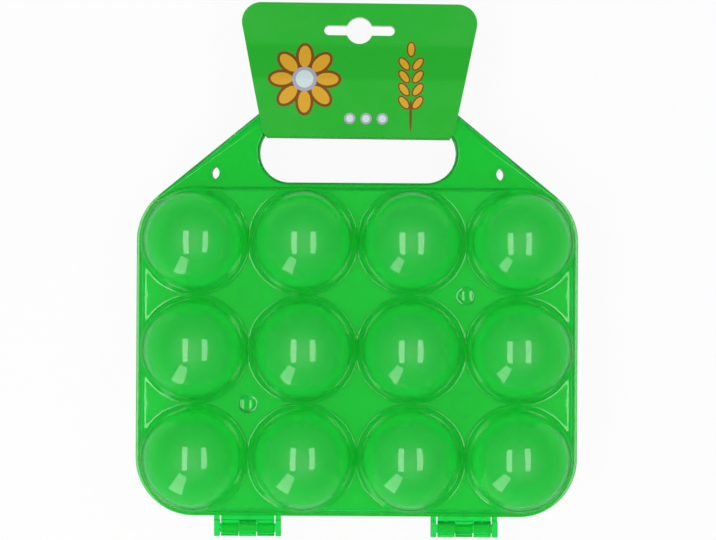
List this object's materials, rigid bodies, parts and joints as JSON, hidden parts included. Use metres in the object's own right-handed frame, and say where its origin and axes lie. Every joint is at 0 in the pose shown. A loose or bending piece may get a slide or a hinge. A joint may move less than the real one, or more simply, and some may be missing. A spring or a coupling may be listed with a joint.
{
  "type": "egg storage box",
  "caption": "Translucent hinged egg carrier: two moulded half shells with egg cups, snap hinges, a carrying handle with finger hole and a folded hanging card.",
  "frame": {"origin": "centre of the closed carrier's bounding box in X and Y, on the surface that the tips of the rear cups lie on", "axes": "+Y from the hinges towards the handle and the card, +Z from the rear shell towards the front shell, +X to the right when the front shell is looked at"},
  "size_m": [0.2038, 0.2468, 0.065],
  "materials": {
    "green_plastic": "gloss, translucent",
    "coated_card": "printed card with a clear coat"
  },
  "bodies": {
    "base": {"back_shell": "green_plastic", "card_back_panel": "coated_card"},
    "lid": {"front_shell": "green_plastic", "card_front_panel": "coated_card"}
  },
  "joints": [
    {"name": "lid_hinge", "type": "hinge", "parent": "base", "child": "lid", "pos_m": [0, -0.11961, 0.0325], "axis": [1, 0, 0], "range_deg": [0, 180]}
  ]
}
